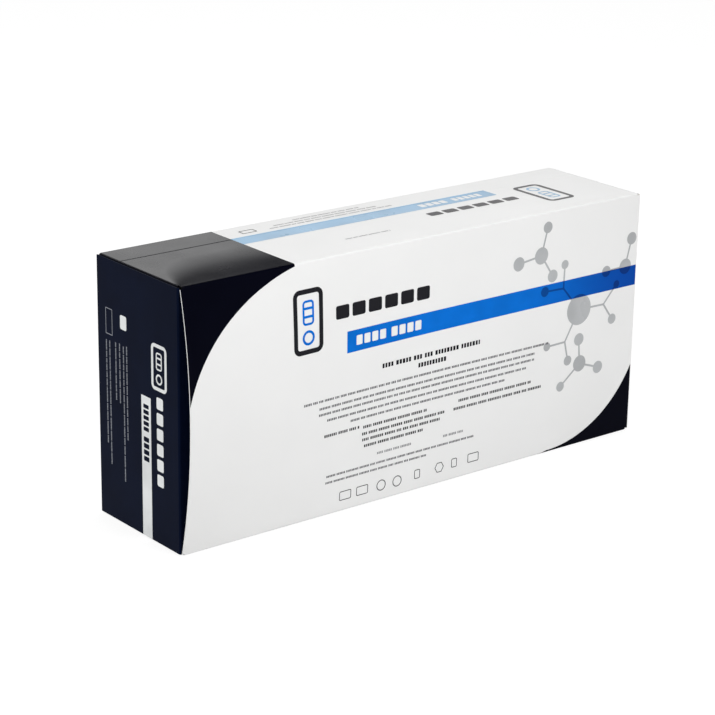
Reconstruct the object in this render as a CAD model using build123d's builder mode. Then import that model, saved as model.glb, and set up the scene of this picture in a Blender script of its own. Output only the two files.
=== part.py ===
"""Folding carton of a rapid test kit, closed, standing on its long narrow side.

One printed paperboard blank makes the sleeve, its four dust flaps and two tuck
ends. The left end flap hinges on the back panel and tucks in behind the front
panel, and the right end flap hinges on the front panel and tucks in behind the
back one. The sleeve's glue flap runs under the top panel. Inside lie the pouched
test cassettes, the packed swabs, a bag of reagent vials, the tube rack, the
leaflet and a bag of extraction tubes. The contents set the carton's size.

Millimetres. X runs along the carton, Y from front to back and Z up. The origin
is the middle of the bottom panel, on the surface that the carton stands on.
"""

import os
from math import asin, cos, radians, sin, tan

from build123d import *

# Paperboard and its folds
board = 0.45
fold_radius = 0.8
dust_fold_radius = 1.0
end_flap_gap = 0.2
tuck_clearance = 0.3
panel_margin = 0.5

# Tuck flaps
tuck_length = 14.0
tuck_corner_radius = 8.0
tuck_shoulder = 1.5
slit_length = 6.0
slit_width = 0.5

# Dust flaps
dust_length = 41.0
dust_shoulder = 9.0
dust_front_taper = 15.0
dust_back_taper = 7.0
dust_tip_radius = 5.0
dust_tuck_relief = 1.4

# Glue flap under the top panel
glue_flap_width = 15.0
glue_flap_end_angle = 15.0
glue_flap_setback = 4.0
seam_setback = 0.4

# Outward bow of the front panel at its free left edge
front_bow = 6.5
bow_run = 150.0
bow_sections = 5

# Foil pouches, each sealed round one cassette, in stacks side by side
pouch_length = 98.5
pouch_width = 55.0
pouch_thickness = 4.9
pouch_count = 25
pouch_columns = 2
pouch_foil = 0.3
pouch_seal = 7.0
cassette_length = 70.0
cassette_width = 20.0
notch_depth = 2.0
notch_from_end = 9.0

# Swab packs, lying on the pouches
swab_pack_length = 190.0
swab_pack_width = 18.0
swab_pack_thickness = 2.8
swab_pack_film = 0.4
swab_pack_count = 25
swab_pack_columns = 3
swab_pack_seal = 8.0
swab_shaft_width = 3.2
swab_head_width = 7.0
swab_head_length = 34.0
swab_ridge_angle = 25.0

# Sealed bags of vials and of tubes
vial_bag_length = 180.0
vial_bag_width = 52.0
vial_bag_thickness = 20.0
tube_bag_length = 108.0
tube_bag_width = 53.0
tube_bag_thickness = 43.8
bag_corner = 5.0
bag_film = 0.6
bag_seal = 6.0
bag_shoulder = 14.0
bag_shoulder_steps = 4

# Flat-packed tube rack and folded leaflet, standing beside the tube bag
rack_leaves = 3
rack_leaf = 0.6
rack_width = 54.0
rack_height = 105.0
leaflet_leaves = 4
leaflet_leaf = 0.6
leaflet_width = 53.0
leaflet_height = 104.0
leaf_gap = 0.2

# Clearances between the things inside
layer_gap = 0.1
stack_gap = 0.3
wall_gap = 0.3
head_room = 0.45

# Worked out from the packed contents
pouch_rows = -(-pouch_count // pouch_columns)
swab_rows = -(-swab_pack_count // swab_pack_columns)
pouch_pitch = pouch_thickness + layer_gap
swab_pitch = swab_pack_thickness + layer_gap
swab_column_pitch = swab_pack_width + stack_gap
rack_thickness = rack_leaves * (rack_leaf + leaf_gap) - leaf_gap
leaflet_thickness = leaflet_leaves * (leaflet_leaf + leaf_gap) - leaf_gap
stacks_length = pouch_columns * (pouch_length + stack_gap)
dividers_length = rack_thickness + leaflet_thickness + 2 * stack_gap
contents_length = max(
    stacks_length + dividers_length + tube_bag_thickness,
    swab_pack_length + dividers_length + tube_bag_thickness + stack_gap,
)
contents_width = max(
    pouch_width,
    swab_pack_columns * swab_column_pitch - stack_gap,
    vial_bag_width,
    tube_bag_width,
    rack_width,
    leaflet_width,
)
stacks_height = pouch_rows * pouch_pitch + swab_rows * swab_pitch
contents_height = max(
    stacks_height + vial_bag_thickness,
    tube_bag_length,
    rack_height,
    leaflet_height,
)

# The carton, from the contents and from the room that the tuck flaps take
tuck_inset = board + tuck_clearance
tuck_room = tuck_inset + board + tuck_length**2 / (2 * contents_width) + wall_gap
end_stack = 2 * board + end_flap_gap + wall_gap
carton_length = contents_length + 2 * end_stack
carton_depth = contents_width + board + wall_gap + tuck_room
carton_height = contents_height + 3 * board + layer_gap + head_room

left, right = -carton_length / 2, carton_length / 2
front, back = -carton_depth / 2, carton_depth / 2
top = carton_height
sleeve_end = left + board + end_flap_gap

# The tuck flap leans in so far that its tip swings out on its crease's own circle
tuck_lean = asin(tuck_length / (2 * (carton_depth - tuck_inset)))


def bow_at(x):
    """How far the front panel stands proud of its folds, half way up, at x."""
    run = min(1.0, (x - left) / bow_run)
    return front_bow * (1 - run) ** 2


def sleeve_section(x, inset):
    """The sleeve's outline at x or, with the board as inset, its inside's outline."""
    radius = max(fold_radius - inset, fold_radius / 4)
    y0, y1 = front + inset, back - inset
    z0, z1 = inset, top - inset
    third = (z1 - z0 - 2 * radius) / 3
    # A cubic reaches three quarters of the way out to its control points
    bulge = bow_at(x) * 4 / 3
    with BuildSketch(Plane.YZ.offset(x)) as section:
        with BuildLine():
            Line((y0 + radius, z0), (y1 - radius, z0))
            RadiusArc((y1 - radius, z0), (y1, z0 + radius), -radius)
            Line((y1, z0 + radius), (y1, z1 - radius))
            RadiusArc((y1, z1 - radius), (y1 - radius, z1), -radius)
            Line((y1 - radius, z1), (y0 + radius, z1))
            RadiusArc((y0 + radius, z1), (y0, z1 - radius), -radius)
            Bezier(
                (y0, z1 - radius),
                (y0 - bulge, z1 - radius - third),
                (y0 - bulge, z0 + radius + third),
                (y0, z0 + radius),
            )
            RadiusArc((y0, z0 + radius), (y0 + radius, z0), -radius)
        make_face()
    return section.sketch


def sleeve_solid(inset):
    """The sleeve's section, lofted where the front panel bows and straight beyond."""
    bow_end = left + bow_run
    stations = [left + bow_run * n / (bow_sections - 1) for n in range(bow_sections)]
    with BuildPart() as solid:
        loft([sleeve_section(x, inset) for x in stations])
        extrude(sleeve_section(bow_end, inset), amount=right - bow_end, dir=(1, 0, 0))
    return solid.part


# Dust flap of the top panel's left end, with the fold that carries it
with BuildPart() as dust_flap:
    bend = sleeve_end + dust_fold_radius
    inside = sleeve_end + board
    foot = top - dust_length
    with BuildSketch(Plane.XZ):
        with BuildLine():
            Polyline((bend, top), (bend + board, top), (bend + board, top - board), (bend, top - board))
            inner_radius = dust_fold_radius - board
            RadiusArc((bend, top - board), (inside, top - dust_fold_radius), inner_radius)
            Polyline(
                (inside, top - dust_fold_radius),
                (inside, foot),
                (sleeve_end, foot),
                (sleeve_end, top - dust_fold_radius),
            )
            RadiusArc((sleeve_end, top - dust_fold_radius), (bend, top), dust_fold_radius)
        make_face()
    extrude(amount=carton_depth, both=True)
    root_front = front + tuck_inset + board + dust_tuck_relief
    root_back = back - board - wall_gap
    taper_run = dust_length - dust_shoulder
    with BuildSketch(Plane.YZ.offset(left)):
        with BuildLine():
            FilletPolyline(
                (root_front, top + board),
                (root_front, top - dust_shoulder),
                (root_front + taper_run * tan(radians(dust_front_taper)), foot),
                (root_back - taper_run * tan(radians(dust_back_taper)), foot),
                (root_back, top - dust_shoulder),
                (root_back, top + board),
                radius=dust_tip_radius,
            )
            Line((root_back, top + board), (root_front, top + board))
        make_face()
    extrude(amount=2 * (bend - left), mode=Mode.INTERSECT)

# Glue flap, lying under the top panel along the back panel
with BuildPart() as glue_flap:
    reach = right - glue_flap_setback
    slant = glue_flap_width * tan(radians(glue_flap_end_angle))
    with BuildSketch(Plane.XY.offset(top - 2 * board)):
        with BuildLine():
            Polyline(
                (-reach, back - board / 2),
                (reach, back - board / 2),
                (reach - slant, back - board - glue_flap_width),
                (slant - reach, back - board - glue_flap_width),
                close=True,
            )
        make_face()
    extrude(amount=board)

outer_sleeve = sleeve_solid(0)
inner_sleeve = sleeve_solid(board)
lower_dust_flap = dust_flap.part.mirror(Plane.XY.offset(top / 2))

# Sleeve of four panels, with its glue flap and its dust flaps
with BuildPart() as carton_body:
    add(outer_sleeve)
    add(inner_sleeve, mode=Mode.SUBTRACT)
    # The top and bottom panels stop where their dust flaps fold down
    panel_trim = bend - left
    for x in (left + panel_trim / 2, right - panel_trim / 2):
        with Locations((x, 0, 0), (x, 0, top)):
            Box(panel_trim, 2 * carton_depth, 2 * dust_fold_radius, mode=Mode.SUBTRACT)
    # The front's left and the back's right edges stop behind their end flaps
    with Locations((left, front, top / 2), (right, back, top / 2)):
        Box(2 * (sleeve_end - left), carton_depth, 2 * top, mode=Mode.SUBTRACT)
    # The other two upright edges carry the end flaps and are mitred for them
    with BuildSketch():
        for x, y in ((left, back), (right, front)):
            side = Align.MAX if x < 0 else Align.MIN
            with Locations((x, y)):
                Rectangle(4 * board, 2 * board, rotation=-45, align=(Align.CENTER, side))
    extrude(amount=top, mode=Mode.SUBTRACT)
    # The top panel's cut edge shows just inside the back panel's fold
    add(glue_flap.part)
    with Locations((0, back, top)):
        Box(2 * carton_length, 2 * seam_setback, 2 * board, mode=Mode.SUBTRACT)
    for flap in (dust_flap.part, lower_dust_flap):
        add(flap)
        add(flap.rotate(Axis.Z, 180))
carton_body.part.label = "carton_body"

# Left end flap: the panel that shuts the end, and the tuck flap at its free edge
with BuildPart() as left_end_flap:
    crease = front + tuck_inset
    tip_x = left + tuck_length * cos(tuck_lean)
    tip_y = crease + tuck_length * sin(tuck_lean)
    with BuildSketch(Plane.XY.offset(panel_margin)) as flap_section:
        with BuildLine():
            Polyline(
                (left, back),
                (left, crease),
                (tip_x, tip_y),
                (tip_x - board * sin(tuck_lean), tip_y + board * cos(tuck_lean)),
                (left + board, crease + board / cos(tuck_lean) + board * tan(tuck_lean)),
                (left + board, back - board),
                close=True,
            )
        make_face()
        fillet(flap_section.vertices().group_by(Axis.Y)[0], radius=fold_radius)
    extrude(amount=top - 2 * panel_margin)
    # The tuck flap is slit at its crease and cut a little short at both ends
    crease_end = left + fold_radius
    with Locations((crease_end, crease, panel_margin), (crease_end, crease, top - panel_margin)):
        align = (Align.MIN, Align.CENTER, Align.CENTER)
        Box(slit_width, tuck_length, 2 * slit_length, align=align, mode=Mode.SUBTRACT)
        Box(2 * tuck_length, tuck_length, 2 * tuck_shoulder, align=align, mode=Mode.SUBTRACT)
    tip_face = left_end_flap.faces().sort_by(Axis.X)[-1]
    fillet(tip_face.edges().filter_by(Axis.Z, reverse=True), radius=tuck_corner_radius)
left_end_flap.part.label = "left_end_flap"

# Right end flap: the same piece, turned half round
with BuildPart() as right_end_flap:
    add(left_end_flap.part.rotate(Axis.Z, 180))
right_end_flap.part.label = "right_end_flap"

# Foil pouch, flat at its seals and crowned over the cassette in it
with BuildPart() as pouch:
    middle = pouch_thickness / 2
    for plane, seal_reach, crown_reach, depth in (
        (Plane.XZ, pouch_length / 2 - pouch_seal, cassette_length / 2, pouch_width),
        (Plane.YZ, pouch_width / 2 - pouch_seal, cassette_width / 2, pouch_length),
    ):
        with BuildSketch(plane):
            with BuildLine():
                Polyline(
                    (-seal_reach, middle),
                    (-crown_reach, pouch_thickness),
                    (crown_reach, pouch_thickness),
                    (seal_reach, middle),
                    (crown_reach, 0),
                    (-crown_reach, 0),
                    close=True,
                )
            make_face()
        extrude(amount=depth, both=True, mode=Mode.ADD if plane == Plane.XZ else Mode.INTERSECT)
    notch_x = pouch_length / 2 - notch_from_end
    with BuildSketch(Plane.XY.offset(middle - pouch_foil / 2)):
        Rectangle(pouch_length, pouch_width)
        with Locations((notch_x, -pouch_width / 2), (notch_x, pouch_width / 2)):
            RegularPolygon(notch_depth, 4, mode=Mode.SUBTRACT)
    extrude(amount=pouch_foil)

# Swab pack: a flat film with the swab's shaft and head standing up in it
with BuildPart() as swab_pack:
    with BuildSketch():
        Rectangle(swab_pack_length, swab_pack_width)
    extrude(amount=swab_pack_film)
    ridge = swab_pack_thickness - swab_pack_film
    swab_end = swab_pack_length / 2 - swab_pack_seal
    with BuildSketch(Plane.XY.offset(swab_pack_film)):
        Rectangle(2 * swab_end, swab_shaft_width)
    extrude(amount=ridge, taper=swab_ridge_angle)
    with BuildSketch(Plane.XY.offset(swab_pack_film)):
        with Locations((swab_end, 0)):
            Rectangle(swab_head_length, swab_head_width, align=(Align.MAX, Align.CENTER))
    extrude(amount=ridge, taper=swab_ridge_angle)


def pillow_bag(length, width, thickness):
    """A filled bag, upright on its own base, pressed flat at its two end seals."""
    film, full = bag_film / 2, thickness / 2
    turns = [radians(90 * n / bag_shoulder_steps) for n in range(bag_shoulder_steps + 1)]
    shoulder = [
        (film + (full - film) * sin(turn), bag_seal + bag_shoulder * (1 - cos(turn)))
        for turn in turns
    ]
    with BuildPart() as bag:
        with BuildSketch(Plane.XZ):
            with BuildLine():
                Polyline((0, 0), (film, 0), *shoulder, (full, length / 2))
                mirror(about=Plane.YZ)
                mirror(about=Plane.XZ.offset(-length / 2))
            make_face()
        extrude(amount=width / 2, both=True)
        with BuildSketch() as section:
            Rectangle(thickness, width)
            chamfer(section.vertices(), length=bag_corner)
        extrude(amount=length, mode=Mode.INTERSECT)
    return bag.part


def folded_sheet(leaves, leaf, width, height):
    """A sheet folded to and fro into leaves, standing on its cut edges."""
    pitch = leaf + leaf_gap
    turn_y = (width - pitch - leaf) / 2
    with BuildPart() as sheet:
        with BuildSketch():
            with BuildLine():
                for n in range(leaves):
                    x = (n - (leaves - 1) / 2) * pitch
                    side = 1 if n % 2 == 0 else -1
                    Line((x, -side * turn_y), (x, side * turn_y))
                    if n < leaves - 1:
                        CenterArc((x + pitch / 2, side * turn_y), pitch / 2, 180, -side * 180)
            trace(line_width=leaf)
        extrude(amount=height)
    return sheet.part


def write_copy(master, node, x, y, z):
    """Write one of the things inside, placed, as a node of its own."""
    with BuildPart() as copy:
        with Locations((x, y, z)):
            add(master)
    copy.part.label = node
    export_step(copy.part, f"parts/{node}.step")


os.makedirs("parts", exist_ok=True)
export_step(carton_body.part, "parts/carton_body.step")
export_step(left_end_flap.part, "parts/left_end_flap.step")
export_step(right_end_flap.part, "parts/right_end_flap.step")

# Things at the left keep clear of the tuck flap in front, at the right of the one behind
floor = board + layer_gap
near_left = left + end_stack
left_y = (tuck_room - board - wall_gap) / 2
right_y = -left_y

for n in range(pouch_count):
    column, row = n % pouch_columns, n // pouch_columns
    pouch_x = near_left + pouch_length / 2 + column * (pouch_length + stack_gap)
    pouch_z = floor + row * pouch_pitch
    write_copy(pouch.part, f"cassette_pouch_{n + 1:02d}", pouch_x, left_y, pouch_z)

swab_x = near_left + swab_pack_length / 2
swab_floor = floor + pouch_rows * pouch_pitch
for n in range(swab_pack_count):
    column, row = (n + 1) % swab_pack_columns, n // swab_pack_columns
    swab_y = left_y + (column - (swab_pack_columns - 1) / 2) * swab_column_pitch
    swab_z = swab_floor + row * swab_pitch
    write_copy(swab_pack.part, f"swab_pack_{n + 1:02d}", swab_x, swab_y, swab_z)

vial_bag = pillow_bag(vial_bag_length, vial_bag_width, vial_bag_thickness).rotate(Axis.Y, 90)
vial_z = floor + stacks_height + vial_bag_thickness / 2
write_copy(vial_bag, "reagent_vial_bag", near_left, left_y, vial_z)

tube_x = right - end_stack - tube_bag_thickness / 2
tube_bag = pillow_bag(tube_bag_length, tube_bag_width, tube_bag_thickness)
write_copy(tube_bag, "extraction_tube_bag", tube_x, right_y, floor)

leaflet_x = tube_x - (tube_bag_thickness + leaflet_thickness) / 2 - stack_gap
leaflet = folded_sheet(leaflet_leaves, leaflet_leaf, leaflet_width, leaflet_height)
write_copy(leaflet, "folded_leaflet", leaflet_x, right_y, floor)

rack_x = leaflet_x - (leaflet_thickness + rack_thickness) / 2 - stack_gap
rack = folded_sheet(rack_leaves, rack_leaf, rack_width, rack_height)
write_copy(rack, "tube_rack_card", rack_x, right_y, floor)
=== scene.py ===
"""Metres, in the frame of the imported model: X along the carton, Y from front to back and
Z up. The print is laid out flat, in millimetres, on each panel, and is cut along the
facets of the board that carries it, so that it lies on the board like ink.
"""

from math import acos, cos, dist, pi, radians, sin, sqrt
from random import Random

import bpy
from mathutils import Matrix, Vector
from mathutils.geometry import delaunay_2d_cdt, interpolate_bezier
from mathutils.noise import noise as smooth_noise


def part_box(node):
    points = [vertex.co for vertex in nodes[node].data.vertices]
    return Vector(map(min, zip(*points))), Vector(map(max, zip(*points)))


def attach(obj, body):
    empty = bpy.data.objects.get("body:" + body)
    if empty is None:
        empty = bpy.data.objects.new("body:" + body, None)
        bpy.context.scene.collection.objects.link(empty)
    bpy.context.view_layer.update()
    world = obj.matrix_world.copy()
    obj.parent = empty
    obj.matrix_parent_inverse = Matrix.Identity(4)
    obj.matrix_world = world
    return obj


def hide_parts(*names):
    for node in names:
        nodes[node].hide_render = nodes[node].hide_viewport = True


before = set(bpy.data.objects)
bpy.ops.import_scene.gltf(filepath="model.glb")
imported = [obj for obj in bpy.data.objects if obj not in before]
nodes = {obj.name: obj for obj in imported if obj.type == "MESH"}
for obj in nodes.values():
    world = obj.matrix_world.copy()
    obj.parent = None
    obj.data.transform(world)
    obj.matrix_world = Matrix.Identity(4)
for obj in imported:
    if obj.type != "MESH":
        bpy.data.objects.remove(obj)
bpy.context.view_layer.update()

# The carton's panels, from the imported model
mm = 0.001
body_low, body_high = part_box("carton_body")
left, right = body_low.x / mm, body_high.x / mm
top = body_high.z / mm
back = body_high.y / mm
front = -back
board = 0.45
end_gap = 0.2
dust_root = front + 2.6
dust_bleed = 12.0
fold_depth = 0.35
ink_lift = 0.04
# The front print ends short of the crease that the right end flap turns on
hinge_edge = right - 0.3

# Print on the front panel, in millimetres along X and up from the bottom fold
field_end = -69.0
field_edge = ((-58.3, 113.5), (-73.0, 113.3), (-116.6, 99.7), (-125.5, 60.9))
corner_centre = (73.7, 58.2)
corner_radius = 57.2
stripe_left = -42.5
stripe_low, stripe_high = 70.3, 79.7

# Print on the top panel, in millimetres along X and back from the middle
top_stripe_right = 70.0
top_stripe_front, top_stripe_back = 5.4, 14.8

# The glue flap's edge, which shows through the top panel, and the panel's slow curl towards
# the front fold, in metres
glue_flap_edge = back * mm - 0.01545
curl_width = 0.034
curl_start = 0.008
curl_slope = 0.31

# Colours of the board and of the inks, as linear light
white_board = (0.84, 0.84, 0.835)
raw_board = (0.72, 0.70, 0.66)
navy_ink = (0.0005, 0.0007, 0.0042)
end_navy_ink = (0.0022, 0.0048, 0.0170)
blue_ink = (0.002, 0.150, 0.620)
deep_blue_ink = (0.002, 0.060, 0.360)
# The top panel's blue, painted paler to stand in for the brighter light and sheen on the top panel
painted_lit_blue_ink = (0.27, 0.46, 0.65)
black_ink = (0.006, 0.006, 0.009)
grey_ink = (0.42, 0.43, 0.44)
shaded_blue_ink = (0.002, 0.066, 0.290)
deep_shaded_ink = (0.002, 0.030, 0.190)
pale_ink = (0.78, 0.80, 0.80)

# Even light from all round, where a strength of 1 is white
world_light = 0.49

# The camera: its place in metres, its turn, downward tilt and roll in degrees, its lens in mm
camera_place = (-0.6123, -0.7498, 0.3788)
camera_angles = (38.66, 18.68, 0.919)
camera_lens = 118.17


def shader_nodes(name):
    """A new material, its node tree and its principled shader."""
    material = bpy.data.materials.new(name)
    material.use_nodes = True
    tree = material.node_tree
    return material, tree, tree.nodes["Principled BSDF"]


def add_node(tree, kind, sockets=None, **settings):
    """Add a shader node with its settings, and its sockets linked or set."""
    node = tree.nodes.new(kind)
    for key, value in settings.items():
        setattr(node, key, value)
    for key, value in (sockets or {}).items():
        if isinstance(value, bpy.types.NodeSocket):
            tree.links.new(value, node.inputs[key])
        else:
            node.inputs[key].default_value = value
    return node


def maths(tree, operation, first, second=0.0, third=0.0):
    """The output of a maths node."""
    sockets = {0: first, 1: second, 2: third}
    return add_node(tree, "ShaderNodeMath", sockets, operation=operation).outputs[0]


def blend_colours(tree, share, first, second):
    """The output of a node that goes from the first colour to the second."""
    node = add_node(tree, "ShaderNodeMix", {"Factor": share}, data_type="RGBA")
    for key, value in ((6, first), (7, second)):
        if isinstance(value, bpy.types.NodeSocket):
            tree.links.new(value, node.inputs[key])
        else:
            node.inputs[key].default_value = (*value, 1.0)
    return node.outputs[2]


def noise(tree, place, scale, detail=3.0, rough=0.5):
    """The value of a noise texture, from 0 to 1 about 0.5."""
    sockets = {"Vector": place, "Scale": scale, "Detail": detail, "Roughness": rough}
    return add_node(tree, "ShaderNodeTexNoise", sockets).outputs["Fac"]


def split(tree, vector):
    """The outputs of a node that gives a vector's X, Y and Z."""
    return add_node(tree, "ShaderNodeSeparateXYZ", {0: vector}).outputs


def ramp(tree, value, low, high, first=0.0, second=1.0):
    """A value mapped smoothly from one range to another."""
    sockets = {"Value": value, 1: low, 2: high, 3: first, 4: second}
    return add_node(tree, "ShaderNodeMapRange", sockets, interpolation_type="SMOOTHSTEP").outputs[0]


def glue_flap_step(tree, place):
    """The height of the top panel's step over the edge of the glue flap, in metres."""
    apart = split(tree, place)
    raised = ramp(tree, apart[1], glue_flap_edge - 0.0007, glue_flap_edge + 0.0004, 0, 0.00019)
    on_top = ramp(tree, apart[2], (top - 1) * mm, (top - 0.3) * mm)
    return maths(tree, "MULTIPLY", raised, on_top)


def curled_normal(tree, place):
    """The normal of the top panel where it curls down towards the front fold."""
    apart = split(tree, place)
    along = maths(tree, "MULTIPLY_ADD", apart[0], -1 / curl_start, left * mm / curl_start)
    width = maths(tree, "MULTIPLY_ADD", maths(tree, "EXPONENT", along), -curl_width, curl_width)
    behind = maths(tree, "SUBTRACT", apart[1], front * mm)
    share = maths(tree, "SUBTRACT", 1.0, maths(tree, "DIVIDE", behind, width))
    tilt = maths(tree, "MULTIPLY", maths(tree, "MAXIMUM", share, 0.0), -curl_slope)
    lean = add_node(tree, "ShaderNodeCombineXYZ", {"Y": tilt}).outputs[0]
    flat = add_node(tree, "ShaderNodeNewGeometry").outputs["Normal"]
    leaning = add_node(tree, "ShaderNodeVectorMath", {0: flat, 1: lean}, operation="ADD").outputs[0]
    return add_node(tree, "ShaderNodeVectorMath", {0: leaning}, operation="NORMALIZE").outputs[0]


def board_surface(tree, shader, place, roughness, height=None, normal=None):
    """Varnish on board: its uneven gloss, its faint fibre grain and its slow waves."""
    patches = noise(tree, place, 45.0)
    rough = ramp(tree, patches, 0.3, 0.7, roughness - 0.03, roughness + 0.03)
    tree.links.new(rough, shader.inputs["Roughness"])
    grain = add_node(tree, "ShaderNodeMapping", {"Vector": place, "Scale": (700.0, 1800.0, 1800.0)})
    fibre = noise(tree, grain.outputs[0], 1.0, 4.0, 0.6)
    layers = [{"Height": fibre, "Strength": 0.12, "Distance": 0.00002}]
    layers.append({"Height": noise(tree, place, 16.0, 1.0), "Strength": 0.5, "Distance": 0.0006})
    if height:
        layers.append({"Height": height, "Strength": 1.0, "Distance": 1.0})
    for sockets in layers:
        if normal:
            sockets["Normal"] = normal
        normal = add_node(tree, "ShaderNodeBump", sockets).outputs[0]
    tree.links.new(normal, shader.inputs["Normal"])


def ink_material(name, colour, gloss, roughness=0.3, right_colour=None, on_top=False, curl=False):
    """Ink under varnish, a little uneven in colour and gloss.

    It may deepen towards the carton's right end. On the top panel the glue flap shows
    through it, and there it may follow the panel's curl.
    """
    material, tree, shader = shader_nodes(name)
    place = add_node(tree, "ShaderNodeTexCoord").outputs["Object"]
    patches = noise(tree, place, 60.0, 4.0)
    lighter = [min(1.0, c * 1.08 + 0.0002) for c in colour]
    mixed = blend_colours(tree, ramp(tree, patches, 0.3, 0.7), [c * 0.92 for c in colour], lighter)
    if right_colour:
        along = split(tree, place)[0]
        mixed = blend_colours(tree, ramp(tree, along, 0.045, 0.13), mixed, right_colour)
    tree.links.new(mixed, shader.inputs["Base Color"])
    shader.inputs["Specular IOR Level"].default_value = gloss
    height = glue_flap_step(tree, place) if on_top else None
    normal = curled_normal(tree, place) if curl else None
    board_surface(tree, shader, place, roughness, height, normal)
    return material


def sleeve_material():
    """White coated board outside and bare board inside, told apart by which way it faces."""
    material, tree, shader = shader_nodes("printed_board_white")
    coordinates = add_node(tree, "ShaderNodeTexCoord")
    place = coordinates.outputs["Object"]
    # Outside faces look away from the carton's middle line
    centre = {0: place, 1: (0.0, 0.0, top * mm / 2)}
    offset = add_node(tree, "ShaderNodeVectorMath", centre, operation="SUBTRACT").outputs[0]
    apart = split(tree, offset)
    facing = split(tree, coordinates.outputs["Normal"])
    outward = maths(tree, "MULTIPLY", apart[0], facing[0])
    for axis in (1, 2):
        outward = maths(tree, "MULTIPLY_ADD", apart[axis], facing[axis], outward)
    outside = ramp(tree, outward, 0.004, 0.008)
    patches = noise(tree, place, 30.0, 5.0)
    tint = ramp(tree, patches, 0.35, 0.65)
    coated = blend_colours(tree, tint, white_board, [c * 0.985 for c in white_board])
    specks = noise(tree, place, 900.0, 2.0)
    bare = blend_colours(tree, ramp(tree, specks, 0.55, 0.75), raw_board, [c * 0.86 for c in raw_board])
    sheet = blend_colours(tree, outside, bare, coated)
    # The top panel's cut edge at the left end takes the print's colour too
    along = split(tree, place)
    at_end = ramp(tree, along[0], (left + 1.7) * mm, (left + 1.8) * mm, 1.0, 0.0)
    at_top = ramp(tree, along[2], (top - 1.1) * mm, (top - 1.05) * mm)
    printed = maths(tree, "MULTIPLY", at_end, at_top)
    tree.links.new(blend_colours(tree, printed, sheet, navy_ink), shader.inputs["Base Color"])
    shader.inputs["Specular IOR Level"].default_value = 0.45
    board_surface(tree, shader, place, 0.34, glue_flap_step(tree, place))
    return material


def flap_material(name, side):
    """Navy print on a flap's outside and bare board on its inside and cut edges."""
    material, tree, shader = shader_nodes(name)
    coordinates = add_node(tree, "ShaderNodeTexCoord")
    place = coordinates.outputs["Object"]
    facing = split(tree, coordinates.outputs["Normal"])
    along = maths(tree, "MULTIPLY", facing[0], side)
    across = maths(tree, "MULTIPLY", facing[1], side)
    outward = maths(tree, "MAXIMUM", along, across)
    # The pressed cut edges at the top and the bottom take the print's colour too
    outward = maths(tree, "MAXIMUM", outward, maths(tree, "ABSOLUTE", facing[2]))
    outside = ramp(tree, outward, 0.45, 0.55)
    patches = noise(tree, place, 60.0, 4.0)
    deeper = [c * 0.85 for c in end_navy_ink]
    navy = blend_colours(tree, ramp(tree, patches, 0.3, 0.7), deeper, [c * 1.1 for c in end_navy_ink])
    tree.links.new(blend_colours(tree, outside, raw_board, navy), shader.inputs["Base Color"])
    shader.inputs["Specular IOR Level"].default_value = 0.015
    board_surface(tree, shader, place, 0.32)
    return material


def circle_points(centre, radius, first, last, count=64):
    """Points along an arc, between two angles in degrees."""
    turns = [radians(first + (last - first) * n / count) for n in range(count + 1)]
    return [(centre[0] + radius * cos(t), centre[1] + radius * sin(t)) for t in turns]


def disc(x, y, radius, count=40):
    """The outline of a disc."""
    return circle_points((x, y), radius, 0, 360 - 360 / count, count - 1)


def rectangle(x0, y0, x1, y1):
    """The outline of an upright rectangle."""
    return [(x0, y0), (x1, y0), (x1, y1), (x0, y1)]


def rounded(x0, y0, x1, y1, radius, count=8):
    """The outline of a rectangle with round corners."""
    corners = ((x1 - radius, y1 - radius), (x0 + radius, y1 - radius))
    corners += ((x0 + radius, y0 + radius), (x1 - radius, y0 + radius))
    points = []
    for n, corner in enumerate(corners):
        points += circle_points(corner, radius, 90 * n, 90 * n + 90, count)
    return points


def bar(start, end, width):
    """The outline of a straight stroke between two points."""
    run = Vector(end) - Vector(start)
    side = Vector((-run.y, run.x)).normalized() * width / 2
    ends = (Vector(start) - side, Vector(end) - side, Vector(end) + side, Vector(start) + side)
    return [tuple(point) for point in ends]


def blocks(x0, x1, low, high, count, gap, radius):
    """Outlines of a row of round-cornered blocks, in place of large letters."""
    step = (x1 - x0 + gap) / count
    edges = [(x0 + n * step, x0 + (n + 1) * step - gap) for n in range(count)]
    return [rounded(first, low, last, high, radius, 4) for first, last in edges]


def words(x0, x1, y, height, random, mean=4.2):
    """Outlines that stand for a line of words: rows of plain blocks with gaps between."""
    outlines = []
    x = x0
    low, high = y - height * 0.5, y + height * 0.3
    while x < x1 - height * 0.4:
        word_end = min(x + mean * random.uniform(0.5, 1.6), x1)
        while x < word_end - height * 0.3:
            width = min(height * random.uniform(0.4, 0.55), word_end - x)
            outlines.append(rectangle(x, low, x + width, high))
            x += width + height * 0.2
        x += height * 0.45
    return outlines


def text_block(lines, height, random, mean=4.2):
    """Outlines for several lines of words."""
    return [shape for x0, x1, y in lines for shape in words(x0, x1, y, height, random, mean)]


def turned_words(across, low, high, random):
    """A line of words that reads upwards."""
    return [[(across - y, x) for x, y in shape] for shape in words(low, high, 0, 0.95, random)]


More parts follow.
